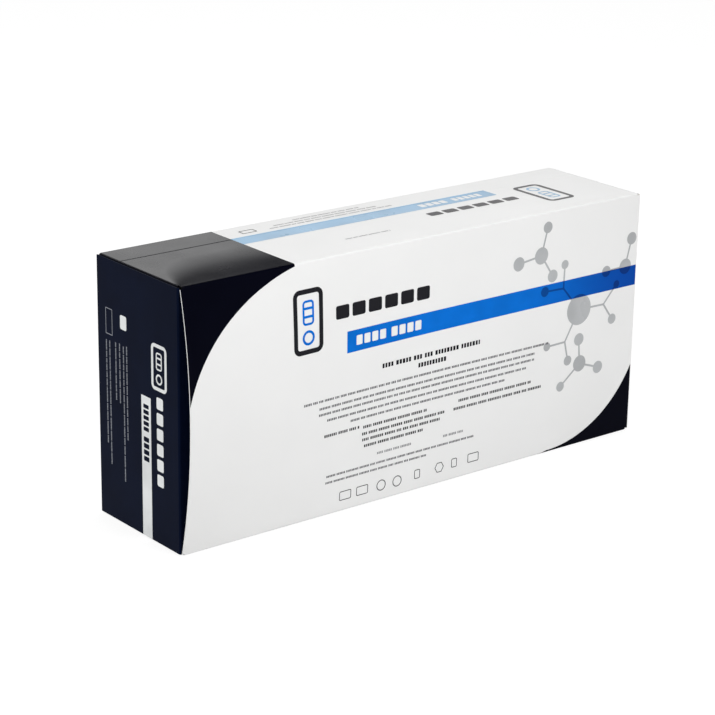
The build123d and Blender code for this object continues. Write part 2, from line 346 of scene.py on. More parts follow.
class Panel:
    """One side of a node, flattened along an axis, with the facets that carry its print."""

    def __init__(self, node, outward, along, up, level):
        self.facets, self.corners, self.flat = [], [], []
        mesh = nodes[node].data
        mesh.calc_loop_triangles()
        outward, along, up = Vector(outward), Vector(along), Vector(up)
        for triangle in mesh.loop_triangles:
            facing = triangle.normal.dot(outward)
            sideways = max(abs(triangle.normal.dot(along)), abs(triangle.normal.dot(up)))
            points = [mesh.vertices[v].co.copy() for v in triangle.vertices]
            depth = sum(points, Vector()).dot(outward) / 3 / mm
            if facing < sideways or depth < level - fold_depth:
                continue
            first = len(self.corners)
            for point, loop in zip(points, triangle.loops):
                self.corners.append((point, mesh.corner_normals[loop].vector.copy()))
                self.flat.append(Vector((point.dot(along), point.dot(up))) / mm)
            self.facets.append((first, first + 1, first + 2))

    def lift(self, facet, point):
        """The place and the normal on a facet that lie under a point of the flat panel."""
        a, b, c = (self.flat[n] for n in self.facets[facet])
        area = (b - a).cross(c - a)
        shares = ((b - point).cross(c - point), (c - point).cross(a - point))
        shares = [share / area for share in shares]
        shares.append(1 - sum(shares))
        corners = [self.corners[n] for n in self.facets[facet]]
        place = sum((corner[0] * share for corner, share in zip(corners, shares)), Vector())
        normal = sum((corner[1] * share for corner, share in zip(corners, shares)), Vector())
        return place, normal.normalized()

    def cut(self, shapes):
        """Cut the facets along outlines, and give each triangle with its facet and its shapes."""
        points = list(self.flat)
        faces = [list(facet) for facet in self.facets]
        for outline in shapes:
            first = len(points)
            points += [Vector(point) for point in outline]
            faces.append(list(range(first, len(points))))
        # The cut tells inside from outside by each face's turn, which has to be to the left
        for face in faces:
            turn = sum(points[a].cross(points[b]) for a, b in zip(face, face[1:] + face[:1]))
            if turn < 0:
                face.reverse()
        found = delaunay_2d_cdt(points, [], faces, 1, 1e-5, True)
        flat, triangles, sources = found[0], found[2], found[5]
        pieces = []
        for triangle, source in zip(triangles, sources):
            facet = [n for n in source if n < len(self.facets)]
            inside = {n - len(self.facets) for n in source if n >= len(self.facets)}
            if facet and inside:
                pieces.append((triangle, facet[0], inside))
        return flat, pieces


def smooth_mesh(name, vertices, faces):
    """A smoothly shaded mesh."""
    mesh = bpy.data.meshes.new(name)
    mesh.from_pydata(vertices, [], faces)
    mesh.update()
    mesh.polygons.foreach_set("use_smooth", [True] * len(mesh.polygons))
    return mesh


def skin(name, panel, flat, triangles, material, body, lift=ink_lift):
    """A piece made of some of a cut panel's triangles, just proud of the board."""
    places, order = {}, []
    for triangle, facet in triangles:
        for n in triangle:
            if n not in places:
                places[n] = (len(order), *panel.lift(facet, flat[n]))
                order.append(n)
    vertices = [places[n][1] + places[n][2] * lift * mm for n in order]
    faces = [[places[n][0] for n in triangle] for triangle, facet in triangles]
    mesh = smooth_mesh(name, vertices, faces)
    if sum(p.normal.dot(places[order[p.vertices[0]]][2]) for p in mesh.polygons) < 0:
        mesh.flip_normals()
    mesh.normals_split_custom_set_from_vertices([places[n][2] for n in order])
    return add_piece(name, mesh, material, body)


def add_piece(name, mesh, material, body, place=None):
    """Show a mesh as a piece of the object, at its place and riding on a body."""
    piece = bpy.data.objects.new(name, mesh)
    bpy.context.scene.collection.objects.link(piece)
    if not mesh.materials:
        mesh.materials.append(material)
    if place:
        piece.matrix_world = place
    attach(piece, body)
    return piece


def print_panel(panel, inks, body="carton"):
    """Lay inks on a panel, later ones on top.

    Each is a name, its material or None where the board stays bare, its outlines, and
    where it only shows over another ink, that one's name.
    """
    shapes, owner = [], []
    layer_of = {entry[0]: layer for layer, entry in enumerate(inks)}
    for layer, entry in enumerate(inks):
        shapes += entry[2]
        owner += [layer] * len(entry[2])
    flat, pieces = panel.cut(shapes)
    layers = [[] for _ in inks]
    for triangle, facet, inside in pieces:
        found = {owner[n] for n in inside}
        seen = {n for n in found if len(inks[n]) < 4 or layer_of[inks[n][3]] in found}
        if seen:
            layers[max(seen)].append((triangle, facet))
    for entry, triangles in zip(inks, layers):
        if triangles and entry[1]:
            skin(entry[0], panel, flat, triangles, entry[1], body)


ink = {
    "navy": ink_material("ink_navy", navy_ink, 0.02),
    "navy_top": ink_material("ink_navy_top", navy_ink, 0.42, 0.26, on_top=True, curl=True),
    "blue": ink_material("ink_blue", blue_ink, 0.03, right_colour=deep_blue_ink),
    "shaded_blue": ink_material("ink_shaded_blue", shaded_blue_ink, 0.03, right_colour=deep_shaded_ink),
    # Painted light: the top's stripe and icon blue is painted paler for the top panel's brighter light
    # and sheen
    "painted_lit_blue": ink_material("ink_painted_lit_blue", painted_lit_blue_ink, 0.45, on_top=True),
    "black": ink_material("ink_black", black_ink, 0.1, 0.35),
    "black_top": ink_material("ink_black_top", black_ink, 0.4, on_top=True),
    "grey": ink_material("ink_grey", grey_ink, 0.3),
    "pale": ink_material("ink_pale", pale_ink, 0.3),
    "end_navy": ink_material("ink_end_navy", end_navy_ink, 0.015),
    "text": ink_material("ink_text", (0.10, 0.10, 0.11), 0.2),
    "bold_text": ink_material("ink_bold_text", (0.03, 0.03, 0.034), 0.15),
    "faint_text": ink_material("ink_faint_text", (0.26, 0.26, 0.27), 0.3),
    "end_text": ink_material("ink_end_text", (0.24, 0.255, 0.29), 0.2),
}

nodes["carton_body"].material_slots[0].material = sleeve_material()
nodes["left_end_flap"].material_slots[0].material = flap_material("left_flap_board", -1.0)
nodes["right_end_flap"].material_slots[0].material = flap_material("right_flap_board", 1.0)


def front_field():
    """The navy field at the front panel's upper left, down to its curved edge."""
    edge = interpolate_bezier(*(Vector((*point, 0)) for point in field_edge), 60)
    edge = [(point.x, point.y) for point in edge if point.x < field_end]
    outside = [(left - 1, edge[-1][1]), (left - 1, top + 1), (field_end, top + 1)]
    return [(field_end, edge[0][1]), *edge, *outside]


def front_corner(edge):
    """The navy corner at the front panel's lower right, up to its arc and out to an edge."""
    last = -180 / pi * acos((edge - corner_centre[0]) / corner_radius)
    arc = circle_points(corner_centre, corner_radius, -90, last)
    return [(corner_centre[0] - 10, -1), *arc, (edge, -1)]


# Ball-and-stick figure on the front panel: its balls, with their radii, and its sticks
figure_balls = {
    "top": (69.2, 106.0, 2.6),
    "crown": (66.0, 93.6, 3.9),
    "west": (52.8, 92.0, 3.2),
    "waist": (73.2, 83.2, 2.9),
    "spur": (80.4, 87.2, 2.1),
    "tail": (68.9, 76.6, 2.3),
    "knee": (80.1, 76.2, 0.6),
    "hub": (90.2, 64.6, 7.2),
    "step": (106.1, 79.6, 2.6),
    "shoulder": (117.9, 80.0, 3.6),
    "peak": (121.2, 92.6, 2.9),
    "bend": (112.9, 72.5, 1.8),
    "fork": (105.3, 64.3, 0.6),
    "foot": (111.1, 56.4, 2.4),
    "root": (82.3, 50.8, 0.6),
    "toe": (71.5, 50.6, 2.0),
    "heel": (84.6, 41.6, 2.3),
    "cap": (91.0, 50.4, 2.9),
    "core": (92.0, 38.8, 3.8),
    "arm": (103.6, 34.8, 2.9),
    "leg": (80.7, 30.0, 2.3),
}
figure_sticks = (
    ("top", "crown"),
    ("crown", "west"),
    ("crown", "waist"),
    ("spur", "knee"),
    ("tail", "knee"),
    ("knee", "hub"),
    ("step", "shoulder"),
    ("shoulder", "peak"),
    ("bend", "fork"),
    ("fork", "hub"),
    ("fork", "foot"),
    ("hub", "root"),
    ("root", "toe"),
    ("root", "heel"),
    ("cap", "core"),
    ("core", "arm"),
    ("core", "leg"),
)
stick_width = 0.9

# Lines of greeked text on the front panel: left, right, height above the bottom fold
text_lines = (
    (-65.5, 72.2, 52.4),
    (-57.2, 64.1, 49.1),
    (-57.4, 64.0, 46.4),
    (-52.9, 59.6, 43.3),
    (-40.1, 47.2, 40.2),
)
list_lines = (
    (-54.3, -34.7, 36.4),
    (-33.1, 2.3, 35.8),
    (-33.6, 12.7, 32.8),
    (-33.5, 9.8, 30.1),
    (-32.4, 0.7, 27.2),
    (20.3, 62.7, 36.2),
    (17.6, 68.8, 32.8),
)
note_lines = ((-52.4, 29.7, 17.8), (-52.8, 3.1, 15.0))
date_lines = ((-25.0, -5.6, 22.2), (12.0, 23.3, 21.6))
text_size, list_size, note_size, date_size, title_size = 1.25, 1.5, 1.15, 1.3, 2.5

# Row of plain symbols under the text: along, up and form
symbols = (
    (-41.8, 7.0, "box"),
    (-32.6, 7.0, "box"),
    (-22.2, 6.8, "ring"),
    (-13.4, 6.6, "ring"),
    (-2.2, 7.2, "tall"),
    (10.3, 7.4, "hexagon"),
    (18.8, 7.6, "tall"),
    (29.8, 7.7, "box"),
)

# Blocks on a stripe, in place of its words: their least gap and their corners' radius
stripe_gap, stripe_round = 1.0, 0.5
name_gap, name_round = 1.7, 0.9


def ring(x, y, radius, width):
    """A ring's outer outline and the one that is left bare in it."""
    return [disc(x, y, radius)], [disc(x, y, radius - width)]


def frame_outline(x0, y0, x1, y1, radius, width):
    """A round-cornered frame's outer outline and the one that is left bare in it."""
    inner = rounded(x0 + width, y0 + width, x1 - width, y1 - width, max(radius - width, 0.1))
    return [rounded(x0, y0, x1, y1, radius)], [inner]


def placed(outlines, x, y, scale=1.0):
    """Outlines drawn about the origin, put in place; a scale below 0 turns them half round."""
    return [[(x + scale * px, y + scale * py) for px, py in outline] for outline in outlines]


def figure_outlines():
    """The figure's balls and sticks."""
    outlines = [disc(x, y, radius) for x, y, radius in figure_balls.values()]
    for first, second in figure_sticks:
        outlines.append(bar(figure_balls[first][:2], figure_balls[second][:2], stick_width))
    return outlines


# A plain test cassette as a pictogram, drawn upright about its middle
icon_case = frame_outline(-7.0, -12.5, 7.0, 12.5, 3.0, 1.9)
icon_window = frame_outline(-2.7, -1.4, 2.7, 8.2, 1.6, 0.9)
icon_lines = [rectangle(-1.8, 4.6, 1.8, 5.6), rectangle(-1.8, 1.4, 1.8, 2.4)]
icon_well = ring(0, -6.2, 2.9, 1.0)


def icon_inks(prefix, dark, bright, x, y, scale):
    """The pictogram's inks: a dark case, and a bright window, result lines and well."""
    return [
        (f"{prefix}_case", dark, placed(icon_case[0], x, y, scale)),
        (f"{prefix}_case_inside", None, placed(icon_case[1], x, y, scale)),
        (f"{prefix}_window", bright, placed(icon_window[0] + icon_well[0], x, y, scale)),
        (f"{prefix}_window_inside", None, placed(icon_window[1] + icon_well[1], x, y, scale)),
        (f"{prefix}_lines", bright, placed(icon_lines, x, y, scale)),
    ]


def symbol_outlines():
    """A row of plain outlined shapes, and what is left bare in them."""
    outer, inner = [], []
    for x, y, kind in symbols:
        if kind == "ring":
            shape = ring(x, y, 2.5, 0.4)
        elif kind == "hexagon":
            shape = [disc(x, y, 2.6, 6)], [disc(x, y, 2.2, 6)]
        else:
            width = 1.6 if kind == "tall" else 3.2
            shape = frame_outline(x - width, y - 2.1, x + width, y + 2.1, 0.7, 0.35)
        outer += shape[0]
        inner += shape[1]
    return outer, inner


def print_front():
    """All print on the front panel."""
    random = Random(11)
    panel = Panel("carton_body", (0, -1, 0), (1, 0, 0), (0, 0, 1), back)
    small = text_block(text_lines, text_size, random) + text_block(note_lines, note_size, random)
    bold = text_block(list_lines, list_size, random, 5.0)
    dates = text_block(date_lines, date_size, random)
    title = words(-23.1, 31.6, 61.0, title_size, random, 9.0)
    title += words(-3.1, 12.7, 57.2, title_size, random, 16.0)
    name = blocks(-48.5, 2.3, 85.8, 91.6, 6, name_gap, name_round)
    knocked_out = blocks(-37.5, -21.5, 72.9, 77.1, 4, stripe_gap, stripe_round)
    knocked_out += blocks(-18.5, -2.0, 72.9, 77.1, 4, stripe_gap, stripe_round)
    outlined, hollow = symbol_outlines()
    stripe = rectangle(stripe_left, stripe_low, hinge_edge, stripe_high)
    inks = [
        ("print_front_field", ink["navy"], [front_field()]),
        ("print_front_corner", ink["navy"], [front_corner(hinge_edge)]),
        ("print_front_stripe", ink["blue"], [stripe]),
        ("print_front_figure", ink["grey"], figure_outlines()),
        ("print_front_figure_shade", ink["shaded_blue"], figure_outlines(), "print_front_stripe"),
        *icon_inks("print_front_icon", ink["black"], ink["blue"], -63.0, 88.0, 1.1),
        ("print_front_name", ink["black"], name),
        ("print_front_stripe_words", None, knocked_out),
        ("print_front_title", ink["black"], title),
        ("print_front_text", ink["text"], small),
        ("print_front_list", ink["bold_text"], bold),
        ("print_front_dates", ink["faint_text"], dates),
        ("print_front_symbols", ink["bold_text"], outlined),
        ("print_front_symbols_inside", None, hollow),
    ]
    print_panel(panel, inks)


# Lines of greeked text on the top panel: left, right, back from the middle
top_lines = ((-46.0, 20.0, 18.6), (-42.0, 14.0, 21.4), (-30.0, 6.0, 24.2), (-30.0, -6.0, -12.6))


def print_top():
    """All print on the top panel, which reads from behind."""
    random = Random(12)
    panel = Panel("carton_body", (0, 0, 1), (1, 0, 0), (0, 1, 0), top)
    name = blocks(23.0, 74.0, -5.6, -0.8, 6, name_gap, name_round)
    knocked_out = blocks(29.0, 44.0, 8.0, 12.2, 4, 0.8, stripe_round)
    knocked_out += blocks(48.0, 64.0, 8.0, 12.2, 5, 0.8, stripe_round)
    small = text_block(top_lines, note_size, random)
    mark, hollow = frame_outline(-60.0, 18.2, -52.5, 22.4, 0.8, 0.6)
    stripe = rectangle(field_end, top_stripe_front, top_stripe_right, top_stripe_back)
    inks = [
        ("print_top_field", ink["navy_top"], [rectangle(left - 1, front - 1, field_end, back + 1)]),
        ("print_top_stripe", ink["painted_lit_blue"], [stripe]),
        *icon_inks("print_top_icon", ink["black_top"], ink["painted_lit_blue"], 90.0, -3.5, -1.1),
        ("print_top_name", ink["black_top"], name),
        ("print_top_stripe_words", None, knocked_out),
        ("print_top_text", ink["faint_text"], small),
        ("print_top_mark", ink["black_top"], mark),
        ("print_top_mark_inside", None, hollow),
    ]
    print_panel(panel, inks)


def print_hidden_sides():
    """The large fields of colour carried on round the back, the bottom and the dust folds."""
    rear = Panel("carton_body", (0, 1, 0), (1, 0, 0), (0, 0, 1), back)
    inks = [
        ("print_back_field", ink["navy"], [front_field()]),
        ("print_back_corner", ink["navy"], [front_corner(right + 1)]),
        ("print_back_stripe", ink["blue"], [rectangle(stripe_left, stripe_low, right + 1, stripe_high)]),
    ]
    print_panel(rear, inks)
    under = Panel("carton_body", (0, 0, -1), (1, 0, 0), (0, 1, 0), 0)
    field = rectangle(-field_end, front - 1, right + 1, back + 1)
    print_panel(under, [("print_bottom_field", ink["navy"], [field])])
    level = right - board - end_gap
    fold = rectangle(dust_root - 1, top - dust_bleed, back, top + 1)
    end = Panel("carton_body", (-1, 0, 0), (0, 1, 0), (0, 0, 1), level)
    print_panel(end, [("print_left_dust_fold", ink["navy"], [fold])])
    fold = rectangle(front, -1, -dust_root + 1, dust_bleed)
    end = Panel("carton_body", (1, 0, 0), (0, 1, 0), (0, 0, 1), level)
    print_panel(end, [("print_right_dust_fold", ink["navy"], [fold])])


# Lines of greeked text on an end flap: across, and its two ends in height
end_lines = (
    (8.2, 38.5, 78.9),
    (10.6, 19.6, 78.2),
    (13.4, 53.1, 78.9),
    (16.3, 53.7, 78.7),
    (20.7, 24.3, 78.0),
    (23.2, 33.0, 78.0),
)


def upended(outlines):
    """Outlines with their two directions swapped."""
    return [[(b, a) for a, b in shape] for shape in outlines]


def print_end(side, outward):
    """The print on an end flap, which is the same at both ends: across from front to back."""
    random = Random(13)
    panel = Panel(f"{side}_end_flap", (outward, 0, 0), (0, -outward, 0), (0, 0, 1), right)
    prefix = f"print_{side}_end"
    lettering = upended(blocks(33.5, 44.0, -7.3, -3.4, 4, 0.7, 0.4))
    lettering += upended(blocks(46.5, 58.0, -7.3, -3.4, 5, 0.7, 0.4))
    name = upended(blocks(25.5, 63.5, -17.6, -13.0, 6, 1.5, 0.8))
    lines = []
    for across, low, high in end_lines:
        lines += turned_words(across, low, high, random)
    mark = [rounded(8.2, 85.2, 12.8, 91.2, 0.9)]
    box, hollow = frame_outline(18.6, 80.6, 23.6, 91.8, 0.3, 0.35)
    inks = [
        (f"{prefix}_stripe", ink["pale"], [rectangle(-8.8, -1, -2.0, 61.5)]),
        (f"{prefix}_stripe_words", ink["end_navy"], lettering),
        *icon_inks(f"{prefix}_icon", ink["pale"], ink["pale"], -15.0, 76.0, 0.78),
        (f"{prefix}_name", ink["pale"], name),
        (f"{prefix}_text", ink["end_text"], lines),
        (f"{prefix}_mark", ink["pale"], mark),
        (f"{prefix}_box", ink["end_text"], box),
        (f"{prefix}_box_inside", None, hollow),
    ]
    print_panel(panel, inks, f"{side}_flap")


print_front()
print_top()
print_hidden_sides()
print_end("left", -1)
print_end("right", 1)

# Packs inside the carton, in millimetres
pouch_seal = 7.0
pouch_film = 0.3
cassette_length, cassette_width = 70.0, 20.0
notch_from_end = 11.0
swab_film = 0.4
swab_end_seal, swab_side_seal = 8.0, 1.8
swab_head_length = 34.0
vial_pitch, tube_pitch = 9.4, 12.4
bag_seal = 6.0


def eased(value):
    """A value held between 0 and 1 and eased at both ends."""
    value = min(max(value, 0.0), 1.0)
    return value * value * (3 - 2 * value)


def wander(x, y, size, seed):
    """Smooth random height from -1 to 1, with swells about so many millimetres apart."""
    return smooth_noise(Vector((x / size, y / size, 7.3 * seed)))


def node_size(node):
    """A node's size in millimetres, and its middle."""
    low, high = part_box(node)
    return (high - low) / mm, (low + high) / 2


def pouch_skins(size, seed):
    """The lower and upper skin of a foil pouch: flat seals, and a crown over the cassette."""
    reach_x, reach_y = size.x / 2 - pouch_seal, size.y / 2 - pouch_seal
    half = size.z / 2 - 0.03

    def skins(x, y):
        crown = eased((reach_x - abs(x)) / (reach_x - cassette_length / 2))
        crown *= eased((reach_y - abs(y)) / (reach_y - cassette_width / 2))
        warp = 0.5 * (1 - crown) * wander(x, y, 22, seed)
        creases = 2.2 * crown * (1 - crown)
        low = warp - pouch_film / 2 - half * crown + creases * wander(x, y, 6, seed + 1)
        high = warp + pouch_film / 2 + half * crown + creases * wander(x, y, 6, seed + 2)
        return max(low, -half), min(max(high, low + 0.1), half)

    return skins


def swab_skins(size, seed):
    """The lower and upper skin of a swab's wrap: a flat back, and a front drawn over the swab."""
    half = size.z / 2 - 0.03
    swab_end = size.x / 2 - swab_end_seal

    def skins(x, y):
        ends = eased((swab_end - abs(x)) / 6)
        head = eased((x - swab_end + swab_head_length) / 7)
        spread = 3.4 + 2.6 * head
        tent = eased(1.25 - abs(y) / spread) * ends * (0.86 + 0.14 * head)
        tent = max(tent + 0.1 * (1 - tent) * wander(x, y, 9, seed) * ends, 0.0)
        low = -half + 0.12 * (1 + wander(x, y, 30, seed + 1)) * (1 - ends * 0.7)
        return low, min(low + swab_film + (2 * half - swab_film) * tent, half)

    return skins


def sealed_pack(name, size, spacing, skins, notch=None):
    """A closed pack, whose lower and upper skin are given at each point of its plan."""
    columns, rows = round(size.x / spacing), round(size.y / spacing)
    vertices, faces = [], []
    for side in (0, 1):
        for row in range(rows + 1):
            for column in range(columns + 1):
                x = size.x * (column / columns - 0.5)
                y = size.y * (row / rows - 0.5)
                height = skins(x, y)[side]
                if notch and row in (0, rows) and abs(x - notch) < spacing / 2:
                    y *= 1 - 3.0 / size.y
                vertices.append(Vector((x, y, height)) * mm)
    stride = columns + 1
    above = stride * (rows + 1)
    for row in range(rows):
        for column in range(columns):
            n = row * stride + column
            faces.append((n, n + stride, n + stride + 1, n + 1))
            faces.append((above + n, above + n + 1, above + n + stride + 1, above + n + stride))
    rim = [*range(columns), *range(columns, above - 1, stride)]
    rim += [*range(above - 1, above - 1 - columns, -1), *range(above - stride, 0, -stride)]
    for a, b in zip(rim, rim[1:] + rim[:1]):
        faces.append((a, b, above + b, above + a))
    return smooth_mesh(name, vertices, faces)


def even_loop(half_width, half_height, radius, count):
    """Points at even steps round a rounded rectangle: how far round, the place, the normal."""
    corners = rounded(-half_width, -half_height, half_width, half_height, radius, 16)
    lengths = [dist(a, b) for a, b in zip(corners, corners[1:] + corners[:1])]
    step = sum(lengths) / count
    points = []
    n, passed = 0, 0.0
    for index in range(count):
        while passed + lengths[n] < index * step:
            passed += lengths[n]
            n += 1
        a, b = Vector(corners[n]), Vector(corners[(n + 1) % len(corners)])
        place = a.lerp(b, (index * step - passed) / lengths[n])
        run = (b - a).normalized()
        points.append((index * step, place, Vector((run.y, -run.x))))
    return points


def filled_bag(name, size, hollow, seed):
    """A bag along X, flat at its end seals, and drawn in between the things that fill it."""
    half = size / 2 - Vector((0.02, 0.02, 0.02))
    loop = even_loop(half.y, half.z, min(half.y, half.z) * 0.55, 120)
    stations = round(size.x / 1.5)
    vertices, faces, shown = [], [], []
    for n in range(stations + 1):
        x = half.x * (2 * n / stations - 1)
        fill = min(max((half.x - bag_seal - abs(x)) / (half.z * 1.1), 0.0), 1.0)
        fill = sqrt(1 - (1 - fill) ** 2)
        for around, place, normal in loop:
            depth = hollow(x, around, normal) * fill
            depth += (0.25 + 0.6 * fill) * (1 + wander(x, around, 11, seed)) / 2
            y, z = place - normal * depth
            z = z * fill + 0.2 * (1 - fill) * normal.y + 0.9 * (1 - fill) * wander(x, y, 16, seed + 1)
            vertices.append(Vector((x, y * (1 - 0.04 * fill), z)) * mm)
            # How much the filling shows through where the film touches it; in the valleys drawn in
            # between the vials or tubes this falls off, leaving the darker film colour as painted shade
            shown.append(max(0.0, 1 - depth / 2.2) * fill)
    count = len(loop)
    for n in range(stations):
        for m in range(count):
            a, b = n * count + m, n * count + (m + 1) % count
            faces.append((a, a + count, b + count, b))
    faces.append(tuple(range(count)))
    faces.append(tuple(range(stations * count + count - 1, stations * count - 1, -1)))
    mesh = smooth_mesh(name, vertices, faces)
    mesh.attributes.new("shown", "FLOAT", "POINT").data.foreach_set("value", shown)
    return mesh


def between_vials(x, around, normal):
    """How far the bag's film is drawn in between the vials that lie across it."""
    swell = 0.5 - 0.5 * cos(2 * pi * (x + 1.2 * wander(x, 0, 30, 5)) / vial_pitch)
    return 1.7 * swell**2 * abs(normal.y)


def between_tubes(x, around, normal):
    """How far the bag's film is drawn in between the tubes that stand in it."""
    return 2.0 * (0.5 - 0.5 * cos(2 * pi * around / tube_pitch)) ** 2


def crimped(tree, place, start_x, start_y, pitch):
    """The height of the ribs pressed into a pack's seals, and where they are."""
    apart = split(tree, place)
    height, seal = 0.0, 0.0
    for axis, start in ((0, start_x), (1, start_y)):
        beyond = maths(tree, "ABSOLUTE", apart[axis])
        here = ramp(tree, beyond, start, start + 0.0004)
        wave = maths(tree, "SINE", maths(tree, "MULTIPLY", apart[axis], 2 * pi / pitch))
        height = maths(tree, "MULTIPLY_ADD", wave, here, height)
        seal = maths(tree, "MAXIMUM", here, seal)
    return height, seal


def creased_surface(tree, shader, place, roughness, creases, height=None, depth=0.00008):
    """A film's uneven gloss and its fine creases, over a coarser height if given."""
    rough = ramp(tree, noise(tree, place, 90.0), 0.3, 0.7, roughness - 0.06, roughness + 0.06)
    tree.links.new(rough, shader.inputs["Roughness"])
    layers = [(noise(tree, place, 130.0, 2.0), creases)]
    layers.append((noise(tree, place, 420.0, 3.0, 0.6), creases * 0.25))
    if height:
        layers.append((height, depth))
    normal = None
    for value, distance in layers:
        sockets = {"Height": value, "Strength": 1.0, "Distance": distance}
        if normal:
            sockets["Normal"] = normal
        normal = add_node(tree, "ShaderNodeBump", sockets).outputs[0]
    tree.links.new(normal, shader.inputs["Normal"])


def foil_material(size):
    """Aluminium foil laminate, creased, with ribbed seals."""
    material, tree, shader = shader_nodes("pouch_foil")
    place = add_node(tree, "ShaderNodeTexCoord").outputs["Object"]
    starts = (size.x / 2 - pouch_seal) * mm, (size.y / 2 - pouch_seal) * mm
    ribs, seal = crimped(tree, place, *starts, 0.0011)
    bright = blend_colours(tree, noise(tree, place, 40.0), (0.70, 0.71, 0.73), (0.80, 0.81, 0.82))
    tree.links.new(blend_colours(tree, seal, bright, (0.66, 0.67, 0.69)), shader.inputs["Base Color"])
    shader.inputs["Metallic"].default_value = 0.9
    creased_surface(tree, shader, place, 0.32, 0.0011, ribs)
    return material


def wrap_material(size):
    """White peel wrap of paper and film, with ribbed seals."""
    material, tree, shader = shader_nodes("swab_wrap")
    place = add_node(tree, "ShaderNodeTexCoord").outputs["Object"]
    starts = (size.x / 2 - swab_end_seal) * mm, (size.y / 2 - swab_side_seal) * mm
    ribs, seal = crimped(tree, place, *starts, 0.0012)
    paper = blend_colours(tree, noise(tree, place, 300.0), (0.76, 0.79, 0.82), (0.82, 0.84, 0.86))
    tree.links.new(blend_colours(tree, seal, paper, (0.70, 0.76, 0.82)), shader.inputs["Base Color"])
    shader.inputs["Specular IOR Level"].default_value = 0.4
    creased_surface(tree, shader, place, 0.42, 0.0004, ribs, 0.00006)
    return material


def bag_material(name, film, contents):
    """Milky film that lets what fills the bag show where it touches, and keeps its darker colour as
    painted shade in the valleys in between.
    """
    material, tree, shader = shader_nodes(name)
    place = add_node(tree, "ShaderNodeTexCoord").outputs["Object"]
    shown = add_node(tree, "ShaderNodeAttribute", attribute_name="shown").outputs["Fac"]
    patches = noise(tree, place, 80.0)
    # Painted shade: where the film is drawn in between what fills the bag, it keeps the darker film
    # colour
    share = maths(tree, "MULTIPLY", shown, ramp(tree, patches, 0.25, 0.6, 0.55, 1.0))
    tree.links.new(blend_colours(tree, share, film, contents), shader.inputs["Base Color"])
    shader.inputs["Specular IOR Level"].default_value = 0.6
    creased_surface(tree, shader, place, 0.22, 0.0012)
    return material


def leaflet_material():
    """Thin white paper with faint lines on its outer faces."""
    material, tree, shader = shader_nodes("leaflet_paper")
    coordinates = add_node(tree, "ShaderNodeTexCoord")
    place = coordinates.outputs["Object"]
    apart = split(tree, place)
    facing = split(tree, coordinates.outputs["Normal"])
    line = maths(tree, "FRACT", maths(tree, "MULTIPLY", apart[2], 1 / 0.0034))
    line = ramp(tree, line, 0.55, 0.65)
    across = add_node(tree, "ShaderNodeMapping", {"Vector": place, "Scale": (1.0, 400.0, 294.0)})
    line = maths(tree, "MULTIPLY", line, ramp(tree, noise(tree, across.outputs[0], 1.0, 0.0), 0.42, 0.5))
    margin = ramp(tree, maths(tree, "ABSOLUTE", apart[1]), 0.0225, 0.0228, 1.0, 0.0)
    line = maths(tree, "MULTIPLY", line, margin)
    line = maths(tree, "MULTIPLY", line, maths(tree, "ABSOLUTE", facing[0]))
    faint = maths(tree, "MULTIPLY", line, 0.5)
    printed = blend_colours(tree, faint, (0.84, 0.84, 0.81), (0.2, 0.2, 0.22))
    tree.links.new(printed, shader.inputs["Base Color"])
    shader.inputs["Specular IOR Level"].default_value = 0.25
    board_surface(tree, shader, place, 0.6)
    return material


def card_material():
    """Plain grey-white card with the cut rounds for the tubes, each cut drawn as a dark ring of painted
    shade.
    """
    material, tree, shader = shader_nodes("plain_card")
    coordinates = add_node(tree, "ShaderNodeTexCoord")
    place = coordinates.outputs["Object"]
    apart = split(tree, place)
    facing = split(tree, coordinates.outputs["Normal"])
    squared = 0.0
    for axis, pitch in ((1, 0.0104), (2, 0.021)):
        cell = maths(tree, "FRACT", maths(tree, "MULTIPLY_ADD", apart[axis], 1 / pitch, 20.5))
        offset = maths(tree, "MULTIPLY_ADD", cell, pitch, -pitch / 2)
        squared = maths(tree, "MULTIPLY_ADD", offset, offset, squared)
    from_cut = maths(tree, "ABSOLUTE", maths(tree, "SUBTRACT", maths(tree, "SQRT", squared), 0.0042))
    # Painted shade: a thin dark ring along each cut, standing in for the shade in the slit
    cut = ramp(tree, from_cut, 0.0001, 0.0004, 0.75, 0.0)
    cut = maths(tree, "MULTIPLY", cut, maths(tree, "ABSOLUTE", facing[0]))
    specks = noise(tree, place, 700.0, 2.0)
    card = blend_colours(tree, ramp(tree, specks, 0.5, 0.75), (0.66, 0.65, 0.61), (0.56, 0.54, 0.50))
    tree.links.new(blend_colours(tree, cut, card, (0.16, 0.15, 0.14)), shader.inputs["Base Color"])
    shader.inputs["Specular IOR Level"].default_value = 0.3
    board_surface(tree, shader, place, 0.6)
    return material


def show_copies(prefix, meshes, material):
    """Put a pack's meshes, in turn, in the place of each of its nodes."""
    for node in sorted(name for name in nodes if name.startswith(prefix)):
        middle = node_size(node)[1]
        mesh = meshes[int(node[-2:]) % len(meshes)]
        piece = add_piece(f"{node}_wrap", mesh, material, "carton", Matrix.Translation(middle))
        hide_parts(node)


def show_bag(node, size, turn, hollow, colours, seed):
    """Put a filled bag in the place of its node, turned to lie along it."""
    middle = node_size(node)[1]
    mesh = filled_bag(f"{node}_film", size, hollow, seed)
    place = Matrix.Translation(middle) @ turn
    material = bag_material(f"{node}_film", *colours)
    piece = add_piece(f"{node}_film", mesh, material, "carton", place)
    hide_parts(node)


